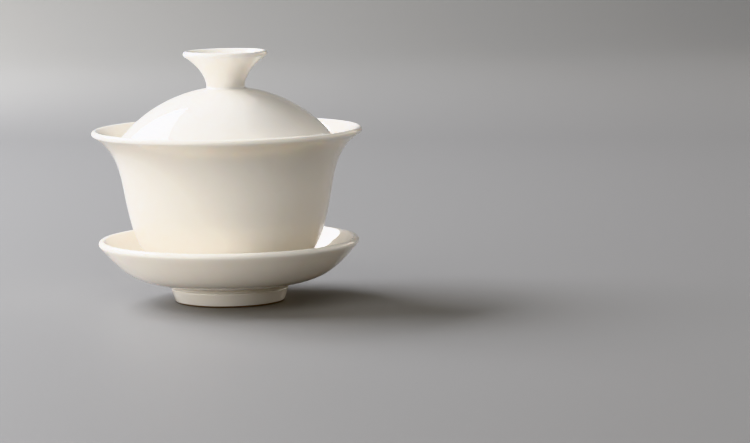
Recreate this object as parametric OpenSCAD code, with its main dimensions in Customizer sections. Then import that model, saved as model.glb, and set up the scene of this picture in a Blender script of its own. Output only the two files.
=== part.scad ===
// Gaiwan: a lidded tea bowl on its saucer, four pieces of thin glazed porcelain.
// Millimetres, +Z up. The origin is the centre of the ring that the saucer stands on.
// Every piece is turned about Z, so each one is a profile of [radius, height] points.

/* [Bowl] */
// Outside diameter of the flared rim
bowl_d = 80; // [77:0.5:86]
// Height from the foot to the rim
bowl_h = 44.4; // [42.4:0.2:48]
// Outside diameter at the waist, where the belly ends and the flare starts
waist_d = 62; // [60:0.2:64]
// Height of the waist above the foot
waist_h = 27.4; // [25:0.2:29]
// Outward lean of the wall at the waist, in degrees from upright
waist_lean = 9.5; // [6:0.5:12]
// Slope of the flare where it reaches the lip, in degrees above level
flare_slope = 31; // [28:1:42]
// Outside diameter of the foot ring where it meets the belly
bowl_foot_d = 32.4; // [29:0.2:32.4]
// Height of the foot ring on the outside
bowl_foot_h = 3.2; // [2.8:0.1:4]
// Depth of the recess inside the foot ring
bowl_recess = 2; // [1.2:0.1:2.4]
// Wall thickness just above the foot
bowl_wall = 2.2; // [2:0.1:2.8]
// Wall thickness at the lip
bowl_lip = 1.8; // [1.4:0.1:2.2]

/* [Saucer] */
// Outside diameter of the rim
saucer_d = 77.2; // [74:0.2:84]
// Height from the table to the rim
saucer_h = 18.6; // [17:0.1:19.5]
// Slope of the dish where it reaches the lip, in degrees above level
saucer_slope = 51; // [46:1:56]
// Outside diameter at the top of the foot ring
saucer_foot_d = 35.8; // [34.8:0.2:37]
// Height of the foot ring on the outside
saucer_foot_h = 5.2; // [4.8:0.1:5.8]
// Depth of the recess inside the foot ring
saucer_recess = 2.9; // [2.2:0.1:3]
// Wall thickness just above the foot
saucer_wall = 2.8; // [2.2:0.1:3]
// Wall thickness at the lip
saucer_lip = 2; // [1.6:0.1:2.4]
// Depth of the well that the bowl's foot stands in
well_depth = 1.1; // [1:0.1:1.6]

/* [Lid] */
// Outside diameter of the lid's edge
lid_d = 66; // [62:0.2:67.4]
// Outside radius of the spherical dome
dome_r = 40.8; // [38:0.2:46]
// Wall thickness of the dome
lid_wall = 2.1; // [1.7:0.1:2.5]
// Gap between the lid's edge and the inside of the bowl, where the lid rests
seat_gap = 0.1; // [0.05:0.05:0.3]

/* [Knob] */
// Outside diameter of the knob's rim
knob_d = 25; // [22:0.5:28]
// Height of the knob above its joint with the dome
knob_h = 11; // [10:0.1:13]
// Diameter of the neck where it joins the dome
neck_d = 11.2; // [10:0.2:13]
// Slope of the trumpet where it reaches its rim, in degrees above level
knob_slope = 40; // [34:1:46]
// Thickness of the knob's rim
knob_lip = 1.8; // [1.4:0.1:2.6]
// Depth of the dish in the top of the knob
dish_depth = 5.5; // [4.8:0.1:6]

/* [Hidden] */
$fn = 128;

// Steps in a curve and in a rounded corner
curve_steps = 16;
corner_steps = 4;

// Foot rings: inward lean of the outer wall, width of the ring, and its rounded edges
foot_lean = 19;
ring_w = 2.7;
recess_lean = 0.7;
ring_edge_out = 0.8;
ring_edge_in = 0.5;
// The turned groove that leaves a narrow band at the top of the saucer's foot
band_h = 1.1;
groove_w = 0.4;
groove_depth = 0.22;
// Corners of the well, and the deepest point of the bowl's floor below its edge
well_edge = 0.5;
well_fillet = 0.35;
floor_sag = 1.1;

// Reach of each curve's two handles, as shares of the sizes that they belong to
belly_low = 0.14 * waist_d;
belly_high = 0.77 * waist_h;
flare_low = 0.45 * (bowl_h - waist_h);
flare_high = 0.35 * (bowl_h - waist_h);
dish_low = 0.72 * (saucer_h - saucer_foot_h);
dish_high = 0.88 * (saucer_h - saucer_foot_h);
neck_low = 0.49 * knob_h;
neck_high = 0.08 * knob_h;
knob_dish_rim = 0.3 * knob_h;
knob_dish_floor = 0.16 * knob_d;

// Slopes at which the belly leaves the bowl's foot and the dish leaves the saucer's foot
belly_slope = 17.5;
dish_slope = 9;

porcelain = [0.96, 0.93, 0.87];

// ---- Points and curves ----

function mix(a, b, t) = a + (b - a) * t;
function unit(v) = v / norm(v);
function polar(reach, angle) = reach * [cos(angle), sin(angle)];
function reversed(points) = [for (i = [len(points) - 1:-1:0]) points[i]];
function after_first(points) = [for (i = [1:len(points) - 1]) points[i]];
function raised(points, z) = [for (p = points) p + [0, z]];

function arc(centre, radius, from, to, steps) =
    [for (i = [0:steps]) centre + polar(radius, mix(from, to, i / steps))];

// A cubic curve that leaves a at one slope and arrives at b at another
function bend(a, slope_a, reach_a, b, slope_b, reach_b) =
    let (h1 = a + polar(reach_a, slope_a), h2 = b - polar(reach_b, slope_b))
    [for (i = [0:curve_steps])
        let (t = i / curve_steps, s = 1 - t)
        s * s * s * a + 3 * s * s * t * h1 + 3 * s * t * t * h2 + t * t * t * b];

// The same curve moved to its left by d0 at its start and d1 at its end
function inset(points, d0, d1) =
    let (last = len(points) - 1)
    [for (i = [0:last])
        let (way = unit(points[min(i + 1, last)] - points[max(i - 1, 0)]))
        points[i] + mix(d0, d1, i / last) * [-way[1], way[0]]];

// The corner b between a and c, rounded to a radius; radius 0 keeps it sharp
function rounded(a, b, c, radius) =
    radius == 0 ? [b] :
    let (u = unit(a - b), v = unit(c - b), half = acos(u * v) / 2,
         centre = b + unit(u + v) * radius / sin(half),
         start = b + u * radius / tan(half) - centre,
         end = b + v * radius / tan(half) - centre,
         from = atan2(start[1], start[0]),
         swing = atan2(start[0] * end[1] - start[1] * end[0], start * end))
    arc(centre, radius, from, from + swing, corner_steps);

// A path through corners given as [radius from the axis, height, rounding]
function path(corners) =
    let (last = len(corners) - 1, at = [for (k = corners) [k[0], k[1]]])
    [for (i = [0:last])
        each (i == 0 || i == last ? [at[i]] : rounded(at[i - 1], at[i], at[i + 1], corners[i][2]))];

// The middle of a lip of given thickness, which a wall of given slope runs into
function lip_centre(edge_r, edge_z, lip) = [edge_r - lip / 2, edge_z - lip / 2];
function lip_start(centre, lip, slope) = centre + polar(lip / 2, slope - 90);
function lip_arc(centre, lip, slope) =
    arc(centre, lip / 2, slope - 90, slope + 90, 2 * corner_steps);

// ---- Profiles ----

// Radius at height z of a foot's outer wall, which leans inwards from its top to the table
function foot_wall(top_r, top_z, z) = top_r - (top_z - z) * tan(foot_lean);

// Corners of a piece's underside, from the axis to the outer edge of the ring it stands on
function foot_path(top_r, top_z, recess) =
    let (foot_r = foot_wall(top_r, top_z, 0))
    [[0, recess, 0], [foot_r - ring_w - recess_lean, recess, ring_edge_in],
     [foot_r - ring_w, 0, ring_edge_in], [foot_r, 0, ring_edge_out]];

bowl_lip_centre = lip_centre(bowl_d / 2, bowl_h, bowl_lip);
bowl_waist = [waist_d / 2, waist_h];
waist_slope = 90 - waist_lean;
waist_wall = (bowl_wall + bowl_lip) / 2;

belly = bend([bowl_foot_d / 2, bowl_foot_h], belly_slope, belly_low,
             bowl_waist, waist_slope, belly_high);
flare = bend(bowl_waist, waist_slope, flare_low,
             lip_start(bowl_lip_centre, bowl_lip, flare_slope), flare_slope, flare_high);
belly_inside = inset(belly, bowl_wall, waist_wall);
flare_inside = inset(flare, waist_wall, bowl_lip);
bowl_floor_edge = belly_inside[0];
bowl_floor = bend([0, bowl_floor_edge[1] - floor_sag], 0, bowl_floor_edge[0] / 2,
                  bowl_floor_edge, belly_slope, bowl_floor_edge[0] / 4);

saucer_lip_centre = lip_centre(saucer_d / 2, saucer_h, saucer_lip);
dish = bend([saucer_foot_d / 2, saucer_foot_h], dish_slope, dish_low,
            lip_start(saucer_lip_centre, saucer_lip, saucer_slope), saucer_slope, dish_high);
dish_inside = inset(dish, saucer_wall, saucer_lip);
well_rim = dish_inside[0];
bowl_z = well_rim[1] - well_depth;

// The lid's edge rolls down the inside of the flare until it touches, less the gap
lid_edge_r = (lid_d - lid_wall) / 2;
seat_offset = lid_wall / 2 + seat_gap;
seat_track = inset(flare, waist_wall + seat_offset, bowl_lip + seat_offset);
lid_edge_z = bowl_z + lookup(lid_edge_r, seat_track);
edge_angle = acos(lid_edge_r / (dome_r - lid_wall / 2));
dome_z = lid_edge_z - (dome_r - lid_wall / 2) * sin(edge_angle);

neck_angle = acos(neck_d / 2 / dome_r);
joint_z = dome_z + dome_r * sin(neck_angle);
knob_lip_centre = lip_centre(knob_d / 2, joint_z + knob_h, knob_lip);

// ---- Pieces ----

module turned(points) {
    color(porcelain)
        rotate_extrude()
            polygon(points);
}

module saucer() {
    foot_r = saucer_foot_d / 2;
    groove_z = saucer_foot_h - band_h;
    groove = [for (step = [-1:1])
        let (z = groove_z + step * groove_w / 2, depth = (1 - abs(step)) * groove_depth)
        [foot_wall(foot_r, saucer_foot_h, z) - depth, z, 0]];
    underside = path(concat(
        foot_path(foot_r, saucer_foot_h, saucer_recess), groove, [[foot_r, saucer_foot_h, 0]]));
    well = path([[well_rim[0] + well_edge, well_rim[1], 0], [well_rim[0], well_rim[1], well_edge / 2],
                 [well_rim[0], bowl_z, well_fillet], [0, bowl_z, 0]]);
    turned(concat(
        underside,
        after_first(dish),
        after_first(lip_arc(saucer_lip_centre, saucer_lip, saucer_slope)),
        [for (p = after_first(reversed(dish_inside))) if (p[0] > well_rim[0] + well_edge) p],
        after_first(well)));
}

module bowl() {
    foot_r = bowl_foot_d / 2;
    underside = path(concat(foot_path(foot_r, bowl_foot_h, bowl_recess), [[foot_r, bowl_foot_h, 0]]));
    turned(raised(concat(
        underside,
        after_first(belly),
        after_first(flare),
        after_first(lip_arc(bowl_lip_centre, bowl_lip, flare_slope)),
        after_first(reversed(flare_inside)),
        after_first(reversed(belly_inside)),
        after_first(reversed(bowl_floor))), bowl_z));
}

module lid_dome() {
    centre = [0, dome_z];
    edge = centre + polar(dome_r - lid_wall / 2, edge_angle);
    turned(concat(
        [[0, joint_z]],
        arc(centre, dome_r, neck_angle, edge_angle, curve_steps),
        after_first(arc(edge, lid_wall / 2, edge_angle, edge_angle - 180, 2 * corner_steps)),
        after_first(reversed(arc(centre, dome_r - lid_wall, 90, edge_angle, curve_steps)))));
}

module lid_knob() {
    rim = lip_start(knob_lip_centre, knob_lip, knob_slope);
    neck = bend([neck_d / 2, joint_z], 90, neck_low, rim, knob_slope, neck_high);
    lip = lip_arc(knob_lip_centre, knob_lip, knob_slope);
    dish_floor = bend([0, joint_z + knob_h - dish_depth], 0, knob_dish_floor,
                      lip[len(lip) - 1], knob_slope, knob_dish_rim);
    turned(concat([[0, joint_z]], neck, after_first(lip), after_first(reversed(dish_floor))));
}

saucer();
bowl();
lid_dome();
lid_knob();
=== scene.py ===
"""The looks of the gaiwan: four pieces of thin cream-glazed porcelain, turned about Z.

Each piece takes its outline from its CAD node, so sizes and places are the frame's. The outline is
made smooth, gets the glaze's own shapes (pooled corners, a rolled edge above the bare foot, a
fillet where the knob was stuck on), and is turned into a mesh. Lengths are in metres.
"""
import math

import bmesh
import bpy
import numpy as np
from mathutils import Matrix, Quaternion, Vector


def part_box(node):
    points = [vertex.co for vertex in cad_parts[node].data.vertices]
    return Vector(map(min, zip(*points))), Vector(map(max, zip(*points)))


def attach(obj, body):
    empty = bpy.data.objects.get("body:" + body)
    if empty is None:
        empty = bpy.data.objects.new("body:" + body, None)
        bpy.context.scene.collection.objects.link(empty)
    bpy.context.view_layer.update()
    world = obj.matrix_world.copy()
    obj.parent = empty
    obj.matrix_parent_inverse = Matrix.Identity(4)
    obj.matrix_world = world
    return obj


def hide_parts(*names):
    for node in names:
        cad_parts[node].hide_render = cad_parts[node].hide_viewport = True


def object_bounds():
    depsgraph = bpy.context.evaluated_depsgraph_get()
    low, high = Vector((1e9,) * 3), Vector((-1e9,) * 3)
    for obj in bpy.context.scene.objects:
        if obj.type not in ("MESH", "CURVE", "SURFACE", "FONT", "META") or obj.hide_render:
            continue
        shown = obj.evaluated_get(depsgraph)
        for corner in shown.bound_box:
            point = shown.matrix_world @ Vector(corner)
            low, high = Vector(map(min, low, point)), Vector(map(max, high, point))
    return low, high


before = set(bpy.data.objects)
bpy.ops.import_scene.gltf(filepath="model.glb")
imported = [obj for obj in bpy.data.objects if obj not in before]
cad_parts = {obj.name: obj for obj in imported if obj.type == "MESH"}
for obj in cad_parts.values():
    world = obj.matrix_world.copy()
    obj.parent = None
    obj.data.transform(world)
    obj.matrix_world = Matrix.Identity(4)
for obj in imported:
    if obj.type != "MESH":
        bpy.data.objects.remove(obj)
cad_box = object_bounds()
rng = np.random.default_rng(7)

MM = 0.001
HEIGHT = cad_box[1].z - cad_box[0].z

# Reading an outline: points this near are one, and turns below STRAIGHT or above CORNER are a
# straight run or a corner. The outline is then sampled in FINE_STEP.
WELD = 1e-7
NEAR_PLANE = 5 * WELD
STRAIGHT = math.radians(0.15)
CORNER = math.radians(30)
FINE_STEP = 0.03 * MM

# The mesh gets a ring wherever the outline has turned or run this far, and AROUND points a ring
MESH_TURN = math.radians(4)
MESH_STEP = 0.75 * MM
AROUND = 240

# The glaze: how it rounds corners, where it stops above a bare ring, and how it lies
POOL_RADIUS = 0.45 * MM
EDGE_RADIUS = 0.12 * MM
FOOT_RADIUS = 0.6 * MM
ROUNDING_SHARE = 0.45  # the most of a stretch that a rounded corner may take
ROUNDING_POINTS = 24
BARE_HEIGHT = 0.45 * MM
GLAZE_DEPTH = 0.1 * MM
GLAZE_ROLL = 0.12 * MM
# POOL_REACH, POOL_WINDOW and POOL_CONTRAST shape the glaze's colour: creamier in hollows and
# lighter on edges, where the lighter edges are partly a painted highlight
POOL_REACH = 0.6 * MM
POOL_WINDOW = 3  # how many reaches the smoothing of the bend spans, to either side
POOL_CONTRAST = 1.6
SKIRT_RADIUS = 0.6 * MM
SKIRT_SINK = 0.015 * MM
SKIRT_POINTS = 40
SKIRT_FLOOR_POINTS = 60

# Fired clay is never quite round: lobes around the axis, always inwards
WARP_LOBES = (2, 3, 5, 8)
WARP_DEPTH = 0.05 * MM
WARP_LEAN = 60  # radians by which a lobe may turn over a metre of height
WARP_FULL_RADIUS = 20 * MM  # nearer the axis the warp fades out


# ---- Outlines: arrays of [radius, height] from the axis below to the axis above ----

def section(node):
    """The corners of a CAD node's half section."""
    mesh = bmesh.new()
    mesh.from_mesh(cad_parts[node].data)
    bmesh.ops.remove_doubles(mesh, verts=mesh.verts, dist=10 * WELD)
    for across in ((0, 1, 0), (1, 0, 0)):
        everything = mesh.verts[:] + mesh.edges[:] + mesh.faces[:]
        bmesh.ops.bisect_plane(mesh, geom=everything, dist=WELD,
                               plane_co=(0, 0, 0), plane_no=across)
    seam = {v for v in mesh.verts if abs(v.co.y) < NEAR_PLANE and v.co.x > -NEAR_PLANE}
    axis = {v for v in seam if v.co.x < NEAR_PLANE}
    here, before = min(axis, key=lambda v: v.co.z), None
    walked = [here]
    while before is None or here not in axis:
        near = [e.other_vert(here) for e in here.link_edges]
        ahead = [v for v in near
                 if v in seam and v is not before and not axis.issuperset((v, here))]
        here, before = ahead[0], here
        walked.append(here)
    points = np.array([(max(v.co.x, 0), v.co.z) for v in walked])
    mesh.free()
    points[[0, -1], 0] = 0
    if area(points) < 0:
        points = points[::-1]
    keep = np.ones(len(points), bool)
    keep[1:-1] = np.abs(turns(points)) > STRAIGHT
    return points[keep]


def area(points):
    """The area inside a closed path, above 0 when it runs counterclockwise."""
    r, z = points.T
    return np.sum(r * np.roll(z, -1) - np.roll(r, -1) * z) / 2


def turns(points):
    """The angle by which a path turns to its left at each inner point."""
    way = np.diff(points, axis=0)
    angle = np.arctan2(way[:, 1], way[:, 0])
    return (np.diff(angle) + np.pi) % (2 * np.pi) - np.pi


def lengths(points):
    """The length of the path up to each point."""
    return np.concatenate([[0], np.cumsum(np.linalg.norm(np.diff(points, axis=0), axis=1))])


def smooth(points):
    """A cubic spline through the points, level where it meets the axis, in fine steps."""
    if len(points) == 2:
        steps = max(2, math.ceil(np.linalg.norm(points[1] - points[0]) / FINE_STEP))
        return points[0] + np.linspace(0, 1, steps + 1)[:, None] * (points[1] - points[0])
    gap = np.diff(lengths(points))
    pull = np.diff(points, axis=0) / gap[:, None]
    count = len(points)
    matrix, right = np.zeros((count, count)), np.zeros((count, 2))
    for i in range(1, count - 1):
        matrix[i, i - 1:i + 2] = gap[i], 2 * (gap[i - 1] + gap[i]), gap[i - 1]
        right[i] = 3 * (gap[i] * pull[i - 1] + gap[i - 1] * pull[i])
    for end, inner, way in ((0, 1, 1), (count - 1, count - 2, -1)):
        matrix[end, end] = 2
        if points[end, 0] == 0:
            right[end] = 2 * way, 0
        else:
            matrix[end, inner] = 1
            right[end] = 3 * pull[min(end, inner)]
    slope = np.linalg.solve(matrix, right)
    made = [points[:1]]
    for i, h in enumerate(gap):
        t = np.linspace(0, 1, max(2, math.ceil(h / FINE_STEP)) + 1)[1:, None]
        made.append((1 + 2 * t) * (1 - t) ** 2 * points[i] + t * (1 - t) ** 2 * h * slope[i]
                    + t * t * (3 - 2 * t) * points[i + 1] + t * t * (t - 1) * h * slope[i + 1])
    return np.concatenate(made)


def joined(first, second, base):
    """Two fine stretches that meet at a corner, which is rounded: wide in a hollow, where glaze
    pools, and at the foot's base, and tight on any other edge."""
    way_in, way_out = first[-1] - first[-2], second[1] - second[0]
    turn = math.atan2(way_in[0] * way_out[1] - way_in[1] * way_out[0], way_in @ way_out)
    if turn < 0:
        radius = POOL_RADIUS
    elif second[0, 1] < base + WELD:
        radius = FOOT_RADIUS
    else:
        radius = EDGE_RADIUS
    along_first, along_second = lengths(first), lengths(second)
    space = ROUNDING_SHARE * min(along_first[-1], along_second[-1])
    cut = min(radius * math.tan(abs(turn) / 2), space)
    first = first[along_first < along_first[-1] - cut]
    second = second[along_second > cut]
    reach = 4 / 3 * math.tan(abs(turn) / 4) * cut / math.tan(abs(turn) / 2)
    a, d = first[-1], second[0]
    b = a + reach * unit(first[-1] - first[-2])
    c = d - reach * unit(second[1] - second[0])
    t = np.linspace(0, 1, ROUNDING_POINTS)[1:-1, None]
    blend = (1 - t) ** 3 * a + 3 * (1 - t) ** 2 * t * b + 3 * (1 - t) * t * t * c + t ** 3 * d
    return np.concatenate([first, blend, second])


def unit(v):
    return v / np.linalg.norm(v)


def fine_outline(node):
    """The node's outline in fine steps, smooth along its curves and rounded at its corners."""
    points = section(node)
    corners = [i + 1 for i in np.flatnonzero(np.abs(turns(points)) > CORNER)]
    ends = [0, *corners, len(points) - 1]
    stretches = [smooth(points[a:b + 1]) for a, b in zip(ends, ends[1:])]
    whole = stretches[0]
    for stretch in stretches[1:]:
        whole = joined(whole, stretch, points[:, 1].min())
    low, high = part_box(node)
    return np.clip(whole, (0, low.z), (high.x, high.z))


def outward(points):
    """At each point, the unit vector that points out of the clay."""
    way = np.gradient(points, axis=0)
    way /= np.linalg.norm(way, axis=1)[:, None]
    return np.stack([way[:, 1], -way[:, 0]], axis=1)


def bare_ring(points):
    """True where a piece stood in the kiln and has no glaze."""
    return points[:, 1] < points[:, 1].min() + BARE_HEIGHT


def set_back(points, bare):
    """The outline with its bare ring narrowed by the glaze's depth, below a rolled glaze edge."""
    s = lengths(points)
    inside = np.flatnonzero(bare)
    edges = s[inside[0]], s[inside[-1]]
    ramp = np.clip(np.minimum(s - edges[0], edges[1] - s) / GLAZE_ROLL, 0, 1)
    moved = points.copy()
    moved[:, 0] -= GLAZE_DEPTH * np.sqrt(1 - (1 - ramp) ** 2) * outward(points)[:, 0]
    return moved


def with_skirt(points, under):
    """The knob's outline with the fillet of glaze that runs out onto the dome below it."""
    base = points[:, 1].min()
    neck = points[np.flatnonzero(points[:, 1] > base + SKIRT_RADIUS)[0]:]
    angle = np.linspace(0, np.pi / 2, SKIRT_POINTS)[:-1]
    skirt_r = neck[0, 0] + SKIRT_RADIUS * (1 - np.sin(angle))
    floor_r = np.linspace(0, skirt_r[0], SKIRT_FLOOR_POINTS)[:-1]
    dome_z = np.interp(np.concatenate([floor_r, skirt_r]), *under.T) - SKIRT_SINK
    floor_z, skirt_z = np.split(dome_z, [len(floor_r)])
    fade = 1 - angle / angle[-1]
    skirt_z = base + SKIRT_RADIUS * (1 - np.cos(angle)) + (skirt_z - base) * fade
    return np.concatenate([np.stack([floor_r, floor_z], 1), np.stack([skirt_r, skirt_z], 1), neck])


def pooling_and_edge_highlight(points):
    """How deep the glaze lies: about 1 in a hollow, one half on a wall and 0 on a sharp edge. Near
    0 the colour is lighter, partly as thin glaze and partly as a painted highlight on edges.
    """
    s = lengths(points)
    even = np.arange(0, s[-1], FINE_STEP)
    path = np.stack([np.interp(even, s, points[:, k]) for k in (0, 1)], axis=1)
    bend = np.concatenate([[0], turns(path), [0]]) / FINE_STEP
    reach = np.arange(-POOL_WINDOW, POOL_WINDOW, FINE_STEP / POOL_REACH)
    weight = np.exp(-reach ** 2 / 2)
    margin = len(weight) // 2
    soft = np.convolve(np.pad(bend, margin, mode="edge"), weight / weight.sum(), "same")
    soft = soft[margin:][:len(even)]
    return np.interp(s, even, 0.5 - 0.5 * np.tanh(soft * POOL_REACH * POOL_CONTRAST))


def thinned(points, must_keep):
    """Places in a fine outline at which the mesh gets a ring: close together where it bends."""
    bend = np.concatenate([[0], np.abs(turns(points)), [0]])
    step = np.concatenate([[0], np.linalg.norm(np.diff(points, axis=0), axis=1)])
    kept, turned_by, gone = [0], 0, 0
    for i in range(1, len(points) - 1):
        turned_by += bend[i]
        gone += step[i]
        if turned_by > MESH_TURN or gone > MESH_STEP or i in must_keep:
            kept.append(i)
            turned_by = gone = 0
    return np.array([*kept, len(points) - 1])


# ---- Meshes ----

def turned_piece(name, body, points, bare, materials):
    """The outline turned about Z as a closed mesh, which stands for the CAD node of that name.
    The second material goes where bare is true."""
    edges = set(np.flatnonzero(np.diff(bare.astype(int))) + 1)
    # depth is the glaze's depth, and near 0 on sharp edges it also gives a painted highlight
    depth = pooling_and_edge_highlight(points)
    keep = thinned(points, edges)
    points, bare, depth = points[keep], bare[keep], depth[keep]
    theta = np.arange(AROUND) * 2 * np.pi / AROUND
    rings = points[1:-1]
    radius = rings[:, :1] - warp(rings, theta)
    wall = np.stack([radius * np.cos(theta), radius * np.sin(theta),
                     np.broadcast_to(rings[:, 1:], radius.shape)], axis=2).reshape(-1, 3)
    poles = np.array([(0, 0, points[0, 1]), (0, 0, points[-1, 1])])
    first, last = len(wall), len(wall) + 1
    here = np.arange(AROUND)
    beside = (here + 1) % AROUND
    faces, slots = [], []
    for i in range(len(rings) - 1):
        low, high = i * AROUND, (i + 1) * AROUND
        faces += np.stack([low + here, low + beside, high + beside, high + here], 1).tolist()
        slots += [int(bare[i + 1] and bare[i + 2])] * AROUND
    top = (len(rings) - 1) * AROUND
    faces += [[first, b, a] for a, b in zip(here.tolist(), beside.tolist())]
    faces += [[top + a, top + b, last] for a, b in zip(here.tolist(), beside.tolist())]
    slots += [0] * (2 * AROUND)

    mesh = bpy.data.meshes.new(name)
    mesh.from_pydata(np.concatenate([wall, poles]), [], faces)
    mesh.polygons.foreach_set("material_index", slots)
    mesh.polygons.foreach_set("use_smooth", [True] * len(faces))
    pool_and_highlight = mesh.attributes.new("glaze_depth_and_edge_highlight", "FLOAT", "POINT")
    on_walls, on_poles = np.repeat(depth[1:-1], AROUND), depth[[0, -1]]
    pool_and_highlight.data.foreach_set("value", np.concatenate([on_walls, on_poles]))
    for coat in materials:
        mesh.materials.append(coat)
    mesh.update()
    piece = bpy.data.objects.new(name + "_glazed", mesh)
    bpy.context.scene.collection.objects.link(piece)
    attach(piece, body)
    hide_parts(name)


def warp(rings, theta):
    """How far each point of the rings lies inside the true circle, in metres, never below 0."""
    out = np.zeros((len(rings), len(theta)))
    total = 0
    for lobes in WARP_LOBES:
        size = 1 / lobes
        phase, lean = rng.uniform(0, 2 * np.pi), rng.uniform(-WARP_LEAN, WARP_LEAN)
        out += size * (1 + np.cos(lobes * theta + phase + lean * rings[:, 1:]))
        total += 2 * size
    return WARP_DEPTH * out / total * np.clip(rings[:, :1] / WARP_FULL_RADIUS, 0, 1)


# ---- Materials: colours are linear ----

# Glaze where it is thin, on a wall and where it pools. The lighter thin colour goes on lips and
# edges, where it is partly a painted highlight
BODY_GLAZE = ((0.925, 0.895, 0.84), (0.91, 0.863, 0.785), (0.87, 0.79, 0.665))
# The lid's glaze is the body's glaze painted whiter and cooler: painted light from the window
# above, which falls on the lid more than on the bowl
LID_PAINTED_LIGHT_GLAZE = ((0.925, 0.905, 0.87), (0.91, 0.882, 0.83), (0.88, 0.825, 0.74))

# Bare clay and the stain on it. The foot's clay is partly real iron browning and partly darkened as
# a painted contact shadow, the dark line under the foot
BROWNED_CLAY_AND_SHADE = ((0.33, 0.24, 0.17), (0.21, 0.13, 0.09))
PALE_CLAY = ((0.80, 0.75, 0.66), (0.72, 0.60, 0.46))

FLOOR_GREY = (0.244, 0.24, 0.233)
FLOOR_FLECK = (0.229, 0.225, 0.218)


def material(name):
    made = bpy.data.materials.new(name)
    made.use_nodes = True
    return made, made.node_tree, made.node_tree.nodes["Principled BSDF"]


def add_node(tree, kind, **settings):
    """A shader node; each setting is one of its inputs, or else one of its properties."""
    made = tree.nodes.new(kind)
    for key, value in settings.items():
        if key in made.inputs:
            made.inputs[key].default_value = value
        else:
            setattr(made, key, value)
    return made


def noise(tree, scale, detail=3, roughness=0.5):
    """Noise in the object's own space, about scale patches to a metre."""
    where = add_node(tree, "ShaderNodeTexCoord")
    made = add_node(tree, "ShaderNodeTexNoise", Scale=scale, Detail=detail, Roughness=roughness)
    tree.links.new(where.outputs["Object"], made.inputs["Vector"])
    return made.outputs["Fac"]


def spread(tree, value, low, high):
    """Noise, which lies around one half, spread to run from low to high."""
    made = add_node(tree, "ShaderNodeMapRange")
    made.inputs["From Min"].default_value = 0.3
    made.inputs["From Max"].default_value = 0.7
    made.inputs["To Min"].default_value = low
    made.inputs["To Max"].default_value = high
    tree.links.new(value, made.inputs["Value"])
    return made.outputs["Result"]


def mixed(tree, share, a, b, blend="MIX"):
    """a and b are colours or sockets; share is a number or a socket."""
    made = add_node(tree, "ShaderNodeMix", data_type="RGBA", blend_type=blend)
    # A Mix node's colour sockets share their names with its other types', so they go by number
    for socket, value in ((0, share), (6, a), (7, b)):
        if isinstance(value, bpy.types.NodeSocket):
            tree.links.new(value, made.inputs[socket])
        elif socket == 0:
            made.inputs[socket].default_value = value
        else:
            made.inputs[socket].default_value = (*value, 1)
    return made.outputs[2]


def bumped(tree, shader, *layers):
    """Chains bump nodes, one for each (height socket, depth in metres)."""
    normal = None
    for height, depth in layers:
        made = add_node(tree, "ShaderNodeBump", Strength=1, Distance=depth)
        tree.links.new(height, made.inputs["Height"])
        if normal:
            tree.links.new(normal, made.inputs["Normal"])
        normal = made.outputs["Normal"]
    tree.links.new(normal, shader.inputs["Normal"])


def glaze_material(name, thin, wall, pooled):
    """Clear cream glaze on porcelain: whiter on a lip, partly as thin glaze and partly as a painted
    highlight, and creamier where it pools.
    """
    made, tree, shader = material(name)
    # Low depth gives lips and edges the lighter colour, partly a painted highlight
    depth = add_node(tree, "ShaderNodeAttribute", attribute_name="glaze_depth_and_edge_highlight").outputs["Fac"]
    ramp = add_node(tree, "ShaderNodeValToRGB")
    for stop, place, colour in ((0, 0.12, thin), (1, 0.88, pooled)):
        ramp.color_ramp.elements[stop].position = place
        ramp.color_ramp.elements[stop].color = (*colour, 1)
    ramp.color_ramp.elements.new(0.5).color = (*wall, 1)
    tree.links.new(depth, ramp.inputs["Fac"])
    clouds = spread(tree, noise(tree, 45, 2), 0, 0.5)
    mottle = spread(tree, noise(tree, 420, 4, 0.6), 0, 0.22)
    cooler, warmer = (0.965, 0.975, 0.985), (0.985, 0.96, 0.92)
    colour = mixed(tree, clouds, ramp.outputs["Color"], cooler, "MULTIPLY")
    colour = mixed(tree, mottle, colour, warmer, "MULTIPLY")
    tree.links.new(colour, shader.inputs["Base Color"])
    tree.links.new(spread(tree, noise(tree, 160, 3), 0.025, 0.05), shader.inputs["Roughness"])
    shader.inputs["IOR"].default_value = 1.52
    shader.inputs["Subsurface Weight"].default_value = 0.3
    shader.inputs["Subsurface Radius"].default_value = (1.0, 0.85, 0.65)
    shader.inputs["Subsurface Scale"].default_value = 2 * MM
    ripple, orange_peel = noise(tree, 130, 2), noise(tree, 900, 2)
    bumped(tree, shader, (ripple, 0.015 * MM), (orange_peel, 0.0008 * MM))
    return made


def bare_material(name, clay, stain):
    """An unglazed ring: fine-grained matt clay with blotches of stain."""
    made, tree, shader = material(name)
    grain = noise(tree, 5200, 5, 0.7)
    blotches = spread(tree, noise(tree, 300, 3), 0, 0.45)
    colour = mixed(tree, blotches, clay, stain)
    darker = (0.82, 0.80, 0.78)
    colour = mixed(tree, spread(tree, grain, 0, 0.35), colour, darker, "MULTIPLY")
    tree.links.new(colour, shader.inputs["Base Color"])
    tree.links.new(spread(tree, grain, 0.62, 0.85), shader.inputs["Roughness"])
    bumped(tree, shader, (grain, 0.03 * MM))
    return made


def floor_material():
    """Matt pale grey board."""
    made, tree, shader = material("pale_board")
    flecks = spread(tree, noise(tree, 900, 4), 0, 0.3)
    colour = mixed(tree, flecks, FLOOR_GREY, FLOOR_FLECK)
    tree.links.new(colour, shader.inputs["Base Color"])
    shader.inputs["Roughness"].default_value = 0.55
    return made


# ---- The set: floor, light and camera ----

FLOOR_HALF_WIDTH = 8.0
FLOOR_FRONT = -8.0
SWEEP_START = 1.1
SWEEP_RADIUS = 1.2
SWEEP_TOP = 2.6
SWEEP_POINTS = 24

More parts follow.
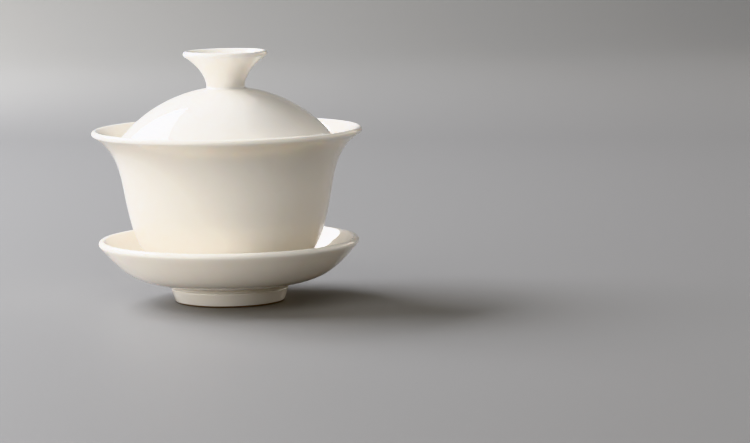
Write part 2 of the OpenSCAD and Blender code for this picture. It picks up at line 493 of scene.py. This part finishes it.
# Each softbox: azimuth and elevation in degrees, width and height in metres, power in watts and
# colour. Azimuth 0 is the camera's side, and it turns to the camera's right.
DAYLIGHT = (0.97, 0.99, 1.07)
PALE = (1, 0.97, 0.93)
WARM = (1, 0.9, 0.79)
WHITE = (1, 1, 1)
SOFTBOX_DISTANCE = 1.05
SOFTBOXES = {
    "window": (-119, 38, 1.03, 0.6, 26.8, DAYLIGHT),
    "left_fill": (-56, 8, 1.25, 0.35, 5.8, PALE),
    "front_high": (-16, 43, 1.1, 0.65, 4.5, PALE),
    "right_fill": (115, 14, 1.25, 0.42, 3.1, WARM),
}
# Behind the object, facing away from it, so that it lights the far floor and the backdrop alone
BACKDROP_LIGHT_SIZE = (0.5, 0.5)
BACKDROP_LIGHT_POWER = 35.0
BACKDROP_LIGHT_PLACE = Vector((-0.8, 0.8, 0.45))
BACKDROP_LIGHT_FACING = Vector((0.2, 1, -0.25))
ROOM_GREY = (0.31, 0.3, 0.285)
ROOM_LIGHT = 0.52

# The camera aims beside and above the object's middle, and its shift frames the object on the left
VIEW_ASIDE = -0.9 * MM
VIEW_RISE = 0.7 * MM
VIEW_DISTANCE = 0.9257
VIEW_ELEVATION = math.radians(5.81)
VIEW_ROLL = math.radians(-1.2)
VIEW_LENS = 150.3
VIEW_SHIFT = (0.2006, -0.064)


def studio_floor():
    """A floor that sweeps up into a backdrop behind the object."""
    bend = [(SWEEP_START + SWEEP_RADIUS * math.sin(a), SWEEP_RADIUS * (1 - math.cos(a)))
            for a in np.linspace(0, math.pi / 2, SWEEP_POINTS)]
    run = [(FLOOR_FRONT, 0), *bend, (bend[-1][0], SWEEP_TOP)]
    verts = [(side * FLOOR_HALF_WIDTH, y, z) for y, z in run for side in (-1, 1)]
    faces = [(2 * i, 2 * i + 1, 2 * i + 3, 2 * i + 2) for i in range(len(run) - 1)]
    mesh = bpy.data.meshes.new("studio_floor")
    mesh.from_pydata(verts, [], faces)
    mesh.polygons.foreach_set("use_smooth", [True] * len(faces))
    mesh.materials.append(floor_material())
    floor = bpy.data.objects.new("studio_floor", mesh)
    bpy.context.scene.collection.objects.link(floor)


def area_light(name, place, facing, size, power, colour):
    """A large soft light, which isn't seen itself."""
    data = bpy.data.lights.new(name, "AREA")
    data.shape = "RECTANGLE"
    data.size, data.size_y = size
    data.energy = power
    data.color = colour
    light = bpy.data.objects.new(name, data)
    light.location = place
    light.rotation_mode = "QUATERNION"
    light.rotation_quaternion = facing.to_track_quat("-Z", "Y")
    light.visible_camera = False
    bpy.context.scene.collection.objects.link(light)


def softbox(name, azimuth, elevation, width, height, power, colour):
    """An area light that faces the object."""
    azimuth, elevation = math.radians(azimuth), math.radians(elevation)
    level = math.cos(elevation)
    out = Vector((math.sin(azimuth) * level, -math.cos(azimuth) * level, math.sin(elevation)))
    place = Vector((0, 0, HEIGHT / 2)) + SOFTBOX_DISTANCE * out
    area_light(name, place, -out, (width, height), power, colour)


def room():
    """The weak even light of the room around."""
    world = bpy.data.worlds.new("room")
    world.use_nodes = True
    background = world.node_tree.nodes["Background"]
    background.inputs["Color"].default_value = (*ROOM_GREY, 1)
    background.inputs["Strength"].default_value = ROOM_LIGHT
    bpy.context.scene.world = world


def camera():
    """The photo's view: a long lens, slightly above the object, with a slight roll."""
    data = bpy.data.cameras.new("camera")
    data.lens = VIEW_LENS
    data.shift_x, data.shift_y = VIEW_SHIFT
    data.clip_start, data.clip_end = 0.05, 20
    made = bpy.data.objects.new("camera", data)
    back = Vector((0, -math.cos(VIEW_ELEVATION), math.sin(VIEW_ELEVATION)))
    made.location = Vector((VIEW_ASIDE, 0, HEIGHT / 2 + VIEW_RISE)) + VIEW_DISTANCE * back
    made.rotation_mode = "QUATERNION"
    roll = Quaternion((0, 0, 1), VIEW_ROLL)
    made.rotation_quaternion = (-back).to_track_quat("-Z", "Y") @ roll
    bpy.context.scene.collection.objects.link(made)
    bpy.context.scene.camera = made


# ---- Pieces ----

glaze = glaze_material("cream_glaze", *BODY_GLAZE)
# The lid and knob get the whiter copy of the glaze, as painted light
lid_painted_light_glaze = glaze_material("lid_painted_light_glaze", *LID_PAINTED_LIGHT_GLAZE)
# The foot rings' clay is dark partly as a painted contact shadow under the foot
foot_clay_and_shade = bare_material("browned_foot_and_contact_shade", *BROWNED_CLAY_AND_SHADE)
edge_clay = bare_material("bare_edge", *PALE_CLAY)
outlines = {name: fine_outline(name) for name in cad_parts}

for name, body, coat, clay in (("saucer", "saucer", glaze, foot_clay_and_shade),
                               ("bowl", "bowl", glaze, foot_clay_and_shade),
                               ("lid_dome", "lid", lid_painted_light_glaze, edge_clay)):
    ring = bare_ring(outlines[name])
    turned_piece(name, body, set_back(outlines[name], ring), ring, (coat, clay))

# The dome's outside, from the axis to its edge, for the fillet under the knob
dome = outlines["lid_dome"]
outside = dome[dome[:, 0].argmax():][::-1]
knob = with_skirt(outlines["lid_knob"], outside)
turned_piece("lid_knob", "lid", knob, np.zeros(len(knob), bool), (lid_painted_light_glaze,))

studio_floor()
for name, settings in SOFTBOXES.items():
    softbox(name, *settings)
area_light("backdrop_light", BACKDROP_LIGHT_PLACE, BACKDROP_LIGHT_FACING, BACKDROP_LIGHT_SIZE,
           BACKDROP_LIGHT_POWER, WHITE)
room()
camera()
bpy.context.scene.view_settings.view_transform = "Khronos PBR Neutral"
